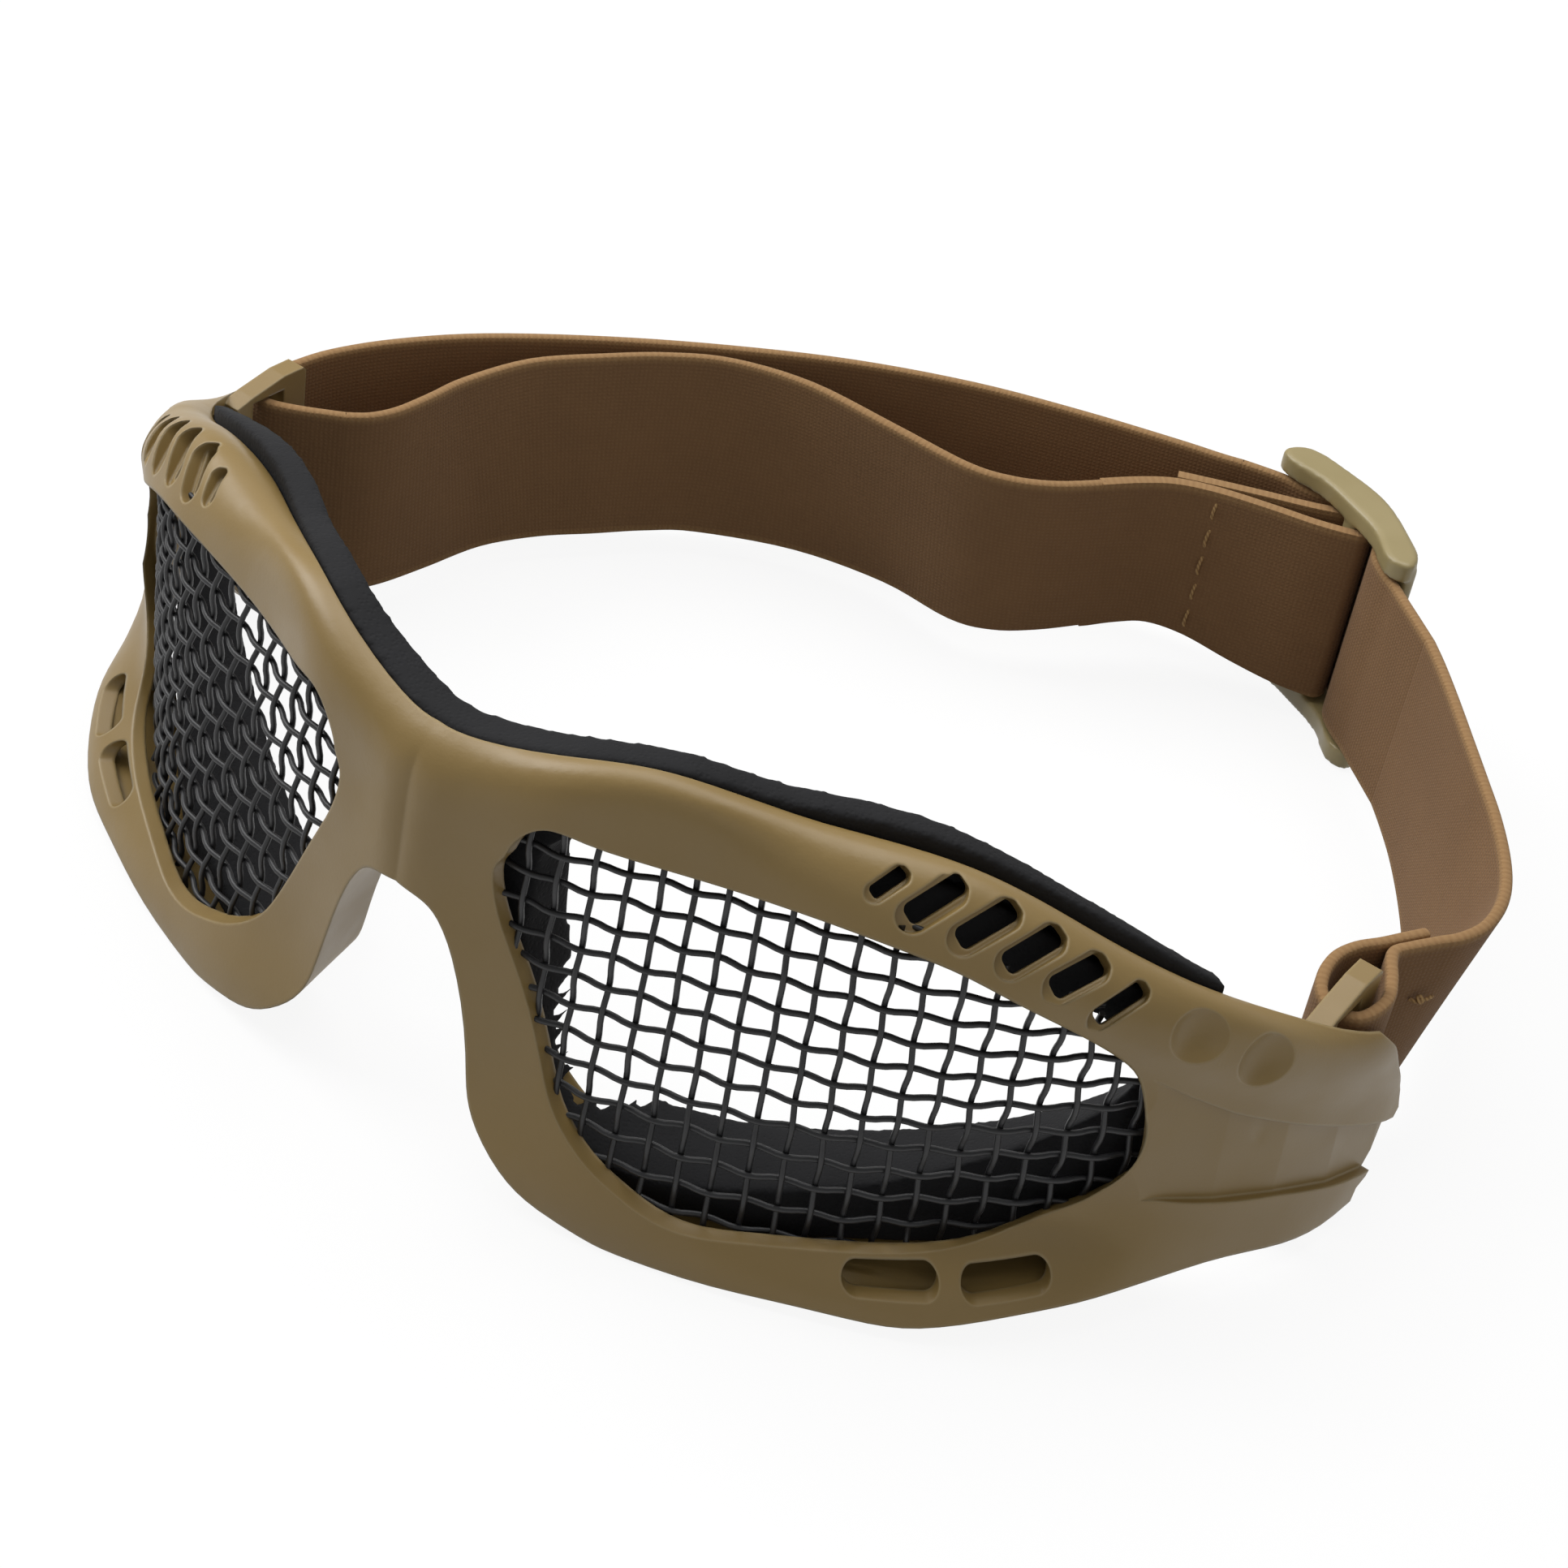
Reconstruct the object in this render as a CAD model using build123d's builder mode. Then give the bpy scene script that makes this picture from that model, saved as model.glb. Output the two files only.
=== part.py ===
# Mesh safety goggles: a moulded wrap-round frame with two woven wire lenses,
# a foam face gasket and an elastic strap with a slider. Millimetres, +Z up, front at -Y.
import math
import os

from build123d import *

os.makedirs("parts", exist_ok=True)

# Overall frame sizes
half_width = 89.2
frame_height = 57.0
wrap_centre_y = 50.0
# The origin is under the middle of the whole depth, lens face to strap
middle_y = 56.2
overrun = 30.0

# Frame shell
shell_wall = 2.0
cavity_reach = 16.0
foot_drop = 4.0
cavity_end_angle = 76.0
step_depth = 0.9
step_reach = 4.0
nose_flare = 0.2

# Vents, dimples and lower slots
vent_width = 2.5
vent_depth = 3.2
vent_recess_width = 3.6
vent_recess_depth = 0.7
dimple_radius = 6.0
dimple_depth = 0.9
boss_slot_height = 3.2
boss_slot_depth = 4.0

# Lenses of woven wire
mesh_pitch = 3.6
mesh_wire = 0.7
mesh_sheet = 1.0
mesh_gap = 0.45
mesh_lap = 1.3
mesh_rim = 0.4
mesh_turn = 28.0
mesh_rise = 11.0

# Foam gasket
foam_gap = 0.3
foam_end_angle = 70.0
foam_lens_gap = 1.2
foam_thickness = 7.0
foam_rise = 2.3

# Strap webbing
strap_width = 27.5
strap_low = 3.2
strap_thickness = 1.5
strap_gap = 0.3
seam_gap = 0.3

# Strap bars moulded behind the temples
bar_x = 80.2
bar_thickness = 2.8
bar_front_y = 41.5
bar_depth = 4.0
bar_root_y = 33.0
bar_root_depth = 2.8
bar_root_height = 4.5
arm_clearance = 0.4
arm_height = 2.0
foot_arm_low = 0.3
foot_arm_height = 1.8
foot_root_low = 3.8
foot_root_height = 3.0

# Slider
slider_angle = -32.2
rail_gap = 0.4
rail_height = 2.8
end_bar_width = 3.0
end_bar_thickness = 1.8
centre_bar_width = 3.0
centre_bar_thickness = 2.0

# Stitches
stitch_length = 2.6
stitch_pitch = 4.6
stitch_thread = 0.7
stitch_proud = 0.5
stitch_gap = 0.05
stitch_core = 0.3
stitch_count = 5
knot_length = 2.2
knot_height = 1.1
knot_gap = 0.35

# Stations round the frame in degrees from the nose, with the radius of each
# row as a share of the half width and its height as a share of the frame height
station_angles = (0, 4, 8, 13, 20, 28, 35, 41.5, 48, 54, 60, 65, 70, 76, 82, 88, 94)
foot_radius_shares = (
    0.8408, 0.8408, 0.8419, 0.8453, 0.8576, 0.8767, 0.9013, 0.9305, 0.9596,
    0.9675, 0.9709, 0.9753, 0.9809, 0.9899, 0.9966, 1.0000, 1.0000)
boss_radius_shares = (
    0.8408, 0.8408, 0.8419, 0.8453, 0.8610, 0.8767, 0.8946, 0.9159, 0.9305,
    0.9451, 0.9563, 0.9664, 0.9753, 0.9865, 0.9944, 0.9978, 0.9978)
sill_radius_shares = (
    0.8397, 0.8386, 0.8363, 0.8363, 0.8509, 0.8655, 0.8778, 0.8879, 0.8946,
    0.9058, 0.9283, 0.9552, 0.9709, 0.9821, 0.9910, 0.9955, 0.9955)
middle_radius_shares = (
    0.8330, 0.8285, 0.8184, 0.8117, 0.8184, 0.8318, 0.8498, 0.8700, 0.8913,
    0.9137, 0.9339, 0.9507, 0.9664, 0.9798, 0.9888, 0.9922, 0.9922)
lens_top_radius_shares = (
    0.8229, 0.8195, 0.8128, 0.8105, 0.7937, 0.7948, 0.8184, 0.8509, 0.8845,
    0.9081, 0.9260, 0.9417, 0.9563, 0.9709, 0.9821, 0.9888, 0.9888)
boss_height_shares = (
    0.1404, 0.1404, 0.1404, 0.1404, 0.1228, 0.0965, 0.0842, 0.0842, 0.1088,
    0.1263, 0.1404, 0.1491, 0.1491, 0.1404, 0.1404, 0.1404, 0.1404)
sill_height_shares = (
    0.1930, 0.1930, 0.1930, 0.1930, 0.1754, 0.1404, 0.1228, 0.1368, 0.1579,
    0.1842, 0.2018, 0.2105, 0.2105, 0.1930, 0.1930, 0.1930, 0.1930)
lens_top_height_shares = (
    0.7895, 0.7965, 0.8105, 0.8456, 0.8421, 0.8351, 0.8333, 0.8246, 0.7895,
    0.7193, 0.6228, 0.5474, 0.4912, 0.4211, 0.3509, 0.2982, 0.2632)
ledge_radius_shares = (
    0.8184, 0.8161, 0.8105, 0.8061, 0.7915, 0.7892, 0.8072, 0.8352, 0.8744,
    0.9081, 0.9327, 0.9484, 0.9596, 0.9731, 0.9843, 0.9910, 0.9910)
ledge_height_shares = (
    0.8474, 0.8561, 0.8772, 0.9088, 0.9070, 0.9018, 0.8947, 0.8772, 0.8263,
    0.7667, 0.6772, 0.6140, 0.5474, 0.4737, 0.4211, 0.3509, 0.3158)
ridge_radius_shares = (
    0.8027, 0.7993, 0.7937, 0.7870, 0.7758, 0.7668, 0.7724, 0.7937, 0.8217,
    0.8543, 0.8946, 0.9193, 0.9417, 0.9641, 0.9787, 0.9865, 0.9888)
ridge_height_shares = (
    0.9053, 0.9123, 0.9333, 0.9649, 0.9860, 0.9702, 0.9491, 0.9368, 0.9211,
    0.8702, 0.7877, 0.7263, 0.6596, 0.5614, 0.5000, 0.4386, 0.4035)
rim_radius_shares = (
    0.7769, 0.7747, 0.7679, 0.7612, 0.7489, 0.7321, 0.7253, 0.7309, 0.7534,
    0.7848, 0.8240, 0.8587, 0.8924, 0.9283, 0.9641, 0.9787, 0.9821)
rim_height_shares = (
    0.9333, 0.9386, 0.9526, 0.9772, 0.9965, 0.9667, 0.9316, 0.9088, 0.8842,
    0.8421, 0.7807, 0.7228, 0.6667, 0.5965, 0.5263, 0.4912, 0.4561)
seat_middle_radius_shares = (
    0.7455, 0.7433, 0.7377, 0.7309, 0.7231, 0.7231, 0.7343, 0.7534, 0.7791,
    0.8105, 0.8498, 0.8913, 0.9305, 0.9540, 0.9675, 0.9720, 0.9731)
seat_foot_radius_shares = (
    0.7175, 0.7175, 0.7175, 0.7209, 0.7343, 0.7511, 0.7735, 0.7993, 0.8274,
    0.8576, 0.8913, 0.9249, 0.9507, 0.9675, 0.9742, 0.9776, 0.9776)
foam_thickness_shares = (
    0.70, 0.70, 0.70, 0.62, 0.68, 0.90, 1.00, 1.00, 1.00, 1.00, 0.90, 0.75, 0.50)
foam_top_shares = (
    0.68, 0.68, 0.66, 0.60, 0.55, 0.50, 0.50, 0.50, 0.50, 0.48, 0.46, 0.44, 0.40)
foam_rise_shares = (
    0.00, 0.00, 0.00, 0.00, 0.05, 0.25, 0.60, 0.90, 1.00, 1.00, 1.00, 0.85, 0.50)

# Lower outline of the right half, as shares of the half width and frame height,
# from the top of the nose arch to the end of the temple
outline_shares = (
    (0.0448, 0.5895), (0.0785, 0.5439), (0.1009, 0.4649), (0.1166, 0.3509),
    (0.1300, 0.2456), (0.1480, 0.1667), (0.1738, 0.1053), (0.2130, 0.0526),
    (0.2691, 0.0140), (0.3363, 0.0020), (0.4260, 0.0000), (0.5000, 0.0110),
    (0.5830, 0.0230), (0.6502, 0.0210), (0.7175, 0.0280), (0.7623, 0.0520),
    (0.8296, 0.0780), (0.8969, 0.0860), (0.9417, 0.0800), (0.9865, 0.0491), (1.0314, 0.0386))
arch_top_share = 0.605

# Lens opening of the right half, the same way round
opening_shares = (
    (0.1345, 0.7719), (0.1513, 0.8246), (0.1805, 0.8596), (0.2242, 0.8526),
    (0.2881, 0.8368), (0.3778, 0.8333), (0.4720, 0.8333), (0.5639, 0.8246),
    (0.6513, 0.7930), (0.7343, 0.7175), (0.7881, 0.6439), (0.8083, 0.5982),
    (0.8217, 0.5351), (0.8341, 0.4509), (0.8296, 0.3404), (0.8128, 0.2930),
    (0.7960, 0.2579), (0.7623, 0.2158), (0.7119, 0.1614), (0.6390, 0.1333),
    (0.5661, 0.1193), (0.4933, 0.1053), (0.4260, 0.0965), (0.3856, 0.1088),
    (0.3475, 0.1333), (0.3027, 0.1684), (0.2691, 0.2070), (0.2410, 0.2544),
    (0.2175, 0.3246), (0.1928, 0.4175), (0.1626, 0.5263), (0.1368, 0.6140),
    (0.1222, 0.6930), (0.1233, 0.7368))
foam_opening_shares = (
    (0.1401, 0.6667), (0.1682, 0.7807), (0.2466, 0.8158), (0.3812, 0.8070),
    (0.5157, 0.7807), (0.6278, 0.7368), (0.7175, 0.6842), (0.7735, 0.5965),
    (0.7904, 0.4912), (0.7511, 0.3860), (0.6839, 0.2982), (0.6054, 0.2281),
    (0.4933, 0.1667), (0.3700, 0.1140), (0.2691, 0.1228), (0.2018, 0.1930),
    (0.1738, 0.2807), (0.1457, 0.4561), (0.1379, 0.5439))

# Vents: lower end and upper end of each, with their heights, then its width share
vent_shares = (
    ((0.5191, -0.0785, 0.8947), (0.5359, -0.0280, 0.9316), 0.62),
    ((0.5572, -0.0661, 0.8596), (0.5942, 0.0034, 0.9316), 1.0),
    ((0.6155, -0.0437, 0.8439), (0.6480, 0.0381, 0.8965), 1.0),
    ((0.6670, -0.0179, 0.8140), (0.6984, 0.0639, 0.8632), 1.0),
    ((0.7175, 0.0112, 0.7842), (0.7478, 0.0930, 0.8175), 1.0),
    ((0.7635, 0.0482, 0.7228), (0.7881, 0.1256, 0.7649), 0.7))
vent_through_share = 0.84
vent_corner_share = 0.34
dimple_shares = (
    ((0.8419, 0.1345, 0.6404), (0.8531, 0.1973, 0.7140)),
    ((0.8991, 0.2276, 0.5491), (0.9058, 0.2758, 0.6000)))
boss_slot_shares = (
    ((0.6155, -0.1211, 0.0895), (0.6973, -0.0404, 0.1075)),
    ((0.7359, -0.0411, 0.1055), (0.8066, 0.0430, 0.1315)))

# Recess of the temple, from the tenth station on: lip height, radius there,
# height of the upper panel's foot, radius there, and depth
recess_shares = (
    (0.2650, 0.9390, 0.6120, 0.9270, -0.4), (0.2650, 0.9540, 0.5300, 0.9430, 0.7),
    (0.2350, 0.9700, 0.4540, 0.9590, 1.0), (0.1950, 0.9820, 0.3770, 0.9750, 1.0),
    (0.1440, 0.9930, 0.3000, 0.9860, 1.0), (0.0980, 0.9990, 0.2230, 0.9940, 1.0),
    (0.0700, 0.9990, 0.1580, 0.9960, 1.0))
recess_first = 10

# Routes of the strap webbing: middle lines at its lower and upper edge
right_run_low_shares = (
    (0.9036, 0.6525), (0.9008, 0.6233), (0.8935, 0.5942), (0.8733, 0.5628), (0.8632, 0.5269),
    (0.8666, 0.4888), (0.8800, 0.4552), (0.9002, 0.4361), (0.9215, 0.4322), (0.9406, 0.4439),
    (0.9490, 0.4709), (0.9490, 0.5045), (0.9350, 0.5404), (0.9193, 0.5684), (0.9126, 0.5908),
    (0.9193, 0.6166), (0.9221, 0.6536), (0.9215, 0.6895), (0.9170, 0.7343), (0.9070, 0.7791),
    (0.8913, 0.8262), (0.8688, 0.8800), (0.8352, 0.9451), (0.7960, 1.0135), (0.7489, 1.0874),
    (0.6984, 1.1581), (0.6525, 1.2141), (0.6169, 1.2540))
right_run_high_shares = (
    (0.9238, 0.6513), (0.9081, 0.6233), (0.8924, 0.5942), (0.8733, 0.5628), (0.8632, 0.5269),
    (0.8666, 0.4888), (0.8800, 0.4552), (0.9002, 0.4361), (0.9215, 0.4322), (0.9406, 0.4439),
    (0.9490, 0.4709), (0.9490, 0.5045), (0.9350, 0.5404), (0.9193, 0.5684), (0.9126, 0.5908),
    (0.9254, 0.6166), (0.9439, 0.6491), (0.9641, 0.6827), (0.9753, 0.7265), (0.9709, 0.7791),
    (0.9540, 0.8285), (0.9226, 0.8845), (0.8767, 0.9496), (0.8251, 1.0123), (0.7691, 1.0796),
    (0.7063, 1.1547), (0.6547, 1.2141), (0.6169, 1.2540))
slider_pass_shares = (
    (0.6143, 1.2563), (0.5725, 1.2919), (0.5379, 1.3210), (0.5118, 1.3427), (0.4807, 1.3669),
    (0.4536, 1.3933), (0.4400, 1.4264), (0.4299, 1.4566), (0.4071, 1.4815), (0.3730, 1.4925),
    (0.3339, 1.4893), (0.2883, 1.4822), (0.2464, 1.4808), (0.2074, 1.4736), (0.1790, 1.4663))
outer_run_shares = (
    (0.1757, 1.4655), (0.1401, 1.4529), (0.0717, 1.4339), (-0.0785, 1.3845), (-0.2377, 1.3195),
    (-0.4036, 1.2220), (-0.5561, 1.1009), (-0.6951, 0.9697), (-0.8217, 0.8262),
    (-0.8969, 0.7063), (-0.9372, 0.6087), (-0.9490, 0.5381), (-0.9490, 0.5045),
    (-0.9490, 0.4709), (-0.9406, 0.4439), (-0.9215, 0.4322), (-0.8969, 0.4322),
    (-0.8677, 0.4462), (-0.8363, 0.4664), (-0.8027, 0.4899))
inner_run_low_shares = (
    (-0.7999, 0.4922), (-0.7769, 0.5202), (-0.7623, 0.5628), (-0.7489, 0.6390),
    (-0.7321, 0.7455), (-0.6906, 0.8352), (-0.6390, 0.9081), (-0.5886, 0.9809),
    (-0.5314, 1.0426), (-0.3924, 1.1267), (-0.2399, 1.1659), (-0.1065, 1.1570),
    (-0.0392, 1.1749), (0.0146, 1.2175), (0.0594, 1.2735))
inner_run_high_shares = (
    (-0.7999, 0.4922), (-0.7769, 0.5202), (-0.7623, 0.5628), (-0.7578, 0.6278),
    (-0.7556, 0.7063), (-0.7287, 0.8240), (-0.6659, 0.9260), (-0.6031, 1.0090),
    (-0.5269, 1.0740), (-0.4058, 1.1132), (-0.2466, 1.1132), (-0.1087, 1.1121),
    (-0.0392, 1.1345), (0.0146, 1.1771), (0.0594, 1.2377))
end_loop_low_shares = (
    (0.0628, 1.2769), (0.0964, 1.3161), (0.1368, 1.3453), (0.1962, 1.3666), (0.2747, 1.3845),
    (0.3453, 1.4013), (0.3985, 1.4210), (0.4095, 1.4308), (0.4102, 1.4476), (0.3964, 1.4644),
    (0.3800, 1.4698), (0.3692, 1.4681), (0.3139, 1.4383), (0.2522, 1.4114), (0.1861, 1.3857),
    (0.1323, 1.3666))
end_loop_high_shares = (
    (0.0628, 1.2410), (0.0964, 1.2881), (0.1368, 1.3296), (0.1962, 1.3599), (0.2747, 1.3834),
    (0.3453, 1.4013), (0.3985, 1.4210), (0.4095, 1.4308), (0.4102, 1.4476), (0.3964, 1.4644),
    (0.3800, 1.4698), (0.3692, 1.4681), (0.3139, 1.4383), (0.2522, 1.4103), (0.1861, 1.3789),
    (0.1323, 1.3520))
rail_shares = (
    (0.2247, 1.5011), (0.2455, 1.5277), (0.3134, 1.5220), (0.4101, 1.4863), (0.4877, 1.4202),
    (0.5241, 1.3707), (0.5229, 1.3477), (0.5062, 1.3423), (0.4478, 1.3883), (0.3767, 1.4331),
    (0.3037, 1.4645), (0.2349, 1.4814))
end_bar_shares = ((0.2617, 1.5155), (0.5120, 1.3704))
centre_bar_share = (0.3838, 1.4445)
knot_index = 16
stitch_index = 3

# Rear end of the temple in side view: y as a share of the half width, height share
temple_end_shares = (
    (0.4150, 1.2000), (0.4150, 0.5700), (0.4339, 0.5474), (0.4821, 0.4614),
    (0.5101, 0.3860), (0.5561, 0.2719), (0.5628, 0.2211), (0.5415, 0.2000),
    (0.5258, 0.1351), (0.5078, 0.0912), (0.4899, 0.0772), (0.4843, 0.0351),
    (0.4821, -0.4000))

middle_heights = [(low + top) / 2 for low, top in zip(sill_height_shares, lens_top_height_shares)]
station_count = len(station_angles)


def radial_plane(angle):
    """Upright plane through the wrap centre; local x runs outward, local y up."""
    turn = math.radians(angle)
    return Plane(
        origin=(0, wrap_centre_y, 0),
        x_dir=(math.sin(turn), -math.cos(turn), 0),
        z_dir=(-math.cos(turn), -math.sin(turn), 0))


def outer_points(i, inset=0.0, roof=0.0):
    """Outer profile of one station, from the foot to the ridge, moved inward."""
    rows = [(foot_radius_shares[i], -foot_drop / frame_height)]
    rows += [(boss_radius_shares[i], boss_height_shares[i]),
             (sill_radius_shares[i], sill_height_shares[i]),
             (middle_radius_shares[i], middle_heights[i]),
             (lens_top_radius_shares[i], lens_top_height_shares[i]),
             (ledge_radius_shares[i], ledge_height_shares[i])]
    points = [(r * half_width - inset, h * frame_height) for r, h in rows]
    points[-1] = (points[-1][0], points[-1][1] - roof / 2)
    ridge = (ridge_radius_shares[i] * half_width - inset * math.sqrt(0.5),
             ridge_height_shares[i] * frame_height - roof * math.sqrt(0.5))
    return points + [ridge]


def outline_points(raise_by=0.0, widen_by=0.0, flare=0.0):
    """Lower outline from left to right, as (x, z)."""
    right = []
    for x_share, z_share in outline_shares:
        nose = min(1, max(0, (x_share - outline_shares[0][0]) / outline_shares[2][0]))
        nose *= 1 if x_share < outline_shares[8][0] else 0
        side = nose * (widen_by + flare)
        right.append((x_share * half_width + side, z_share * frame_height + raise_by))
    top = (0, arch_top_share * frame_height + raise_by)
    return [(-x, z) for x, z in reversed(right)] + [top] + right


def under_solid(raise_by, widen_by):
    """Everything below the frame's lower outline, flared towards the back."""
    with BuildPart() as under:
        for y in (-half_width / 2, half_width):
            flare = nose_flare * (y + half_width - wrap_centre_y / 2)
            flare -= nose_flare * (half_width - wrap_centre_y)
            points = outline_points(raise_by, widen_by, flare)
            with BuildSketch(Plane(origin=(0, y, 0), x_dir=(1, 0, 0), z_dir=(0, -1, 0))):
                with BuildLine():
                    Spline(points)
                    Polyline(points[-1], (points[-1][0], -overrun),
                             (points[0][0], -overrun), points[0])
                make_face()
        loft(ruled=True)
    return under.part


def side_point(points, i, offset):
    """Point beside a route, square to it."""
    before, after = points[max(i - 1, 0)], points[min(i + 1, len(points) - 1)]
    run = math.hypot(after[0] - before[0], after[1] - before[1])
    across = ((after[1] - before[1]) / run, (before[0] - after[0]) / run)
    return (points[i][0] + across[0] * offset, points[i][1] + across[1] * offset)


def front_prism(shares, lap, y_from, y_to):
    """Straight prism along Y over a closed outline, grown by lap."""
    points = [(x * half_width, z * frame_height) for x, z in shares]
    if lap:
        closed = [points[-1]] + points + [points[0]]
        points = [side_point(closed, i, -lap) for i in range(1, len(closed) - 1)]
    with BuildPart() as prism:
        with BuildSketch(Plane(origin=(0, y_to, 0), x_dir=(1, 0, 0), z_dir=(0, -1, 0))):
            with BuildLine():
                Spline(points, periodic=True)
            make_face()
        extrude(amount=y_to - y_from)
    return prism.part


def ribbon(low_shares, high_shares):
    """Webbing standing on edge along a route."""
    with BuildPart() as band:
        for shares, z in ((low_shares, strap_low), (high_shares, strap_low + strap_width)):
            points = [(x * half_width, y * half_width) for x, y in shares]
            half = strap_thickness / 2
            left = [side_point(points, i, -half) for i in range(len(points))]
            right = [side_point(points, i, half) for i in range(len(points))]
            with BuildSketch(Plane.XY.offset(z)):
                with BuildLine():
                    Spline(left)
                    Line(left[-1], right[-1])
                    Spline(right[::-1])
                    Line(right[0], left[0])
                make_face()
        loft(ruled=True)
    return band.part


def face_strip(low_shares, high_shares, i, gap, z_from, z_to, length, thick):
    """Flat block lying on one face of the webbing between two heights."""
    with BuildPart() as strip:
        for z in (z_from, z_to):
            rise = (z - strap_low) / strap_width
            route = [((a[0] + (b[0] - a[0]) * rise) * half_width,
                      (a[1] + (b[1] - a[1]) * rise) * half_width)
                     for a, b in zip(low_shares, high_shares)]
            middle = side_point(route, i, strap_thickness / 2 + gap + thick / 2)
            run = math.degrees(math.atan2(route[i + 1][1] - route[i - 1][1],
                                          route[i + 1][0] - route[i - 1][0]))
            with BuildSketch(Plane.XY.offset(z)):
                with Locations(Location((middle[0], middle[1], 0), (0, 0, run))):
                    Rectangle(length, thick)
        loft(ruled=True)
    return strip.part


def inside(x, z, points):
    """Whether a point lies within a closed outline."""
    within = False
    for (xa, za), (xb, zb) in zip(points, points[1:] + points[:1]):
        if (za > z) != (zb > z) and x < xa + (z - za) * (xb - xa) / (zb - za):
            within = not within
    return within


def surface_normal(low, high, tangent):
    """Unit vector square to a slot's axis and to the run of the brow."""
    axis = (high - low).normalized()
    return tangent.cross(axis).normalized(), axis


def placed(share_point):
    """Point of a place table in real size."""
    x, y, z = share_point
    return Vector(x * half_width, y * half_width, z * frame_height)


# Frame: the right half of the wrap-round body, hollowed from behind, then mirrored
strap_top = strap_low + strap_width
arm_under = strap_top + arm_clearance
arm_top = arm_under + arm_height
foot_arm_top = foot_arm_low + foot_arm_height
root_rear = bar_root_y + bar_root_depth
root_low = arm_under - bar_root_height
bar_rear = bar_front_y + bar_depth
corner = arm_height / 4
foot_root_top = foot_root_low + foot_root_height
opening_back = wrap_centre_y - half_width * 0.41
root_width = bar_thickness * 1.4
foot_width = bar_thickness * 2.125

with BuildPart() as cavity:
    for i in range(station_count):
        if station_angles[i] > cavity_end_angle:
            continue
        profile = outer_points(i, shell_wall, shell_wall)
        roof = (rim_radius_shares[i] * half_width - shell_wall / 4,
                rim_height_shares[i] * frame_height - shell_wall)
        behind = (roof[0] - cavity_reach, roof[1])
        behind_foot = (profile[0][0] - 2 * cavity_reach, -foot_drop)
        with BuildSketch(radial_plane(station_angles[i])):
            with BuildLine():
                Spline(profile + [roof])
                Polyline(roof, behind, behind_foot, profile[0])
            make_face()
    loft()
    add(under_solid(shell_wall, shell_wall), mode=Mode.SUBTRACT)

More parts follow.
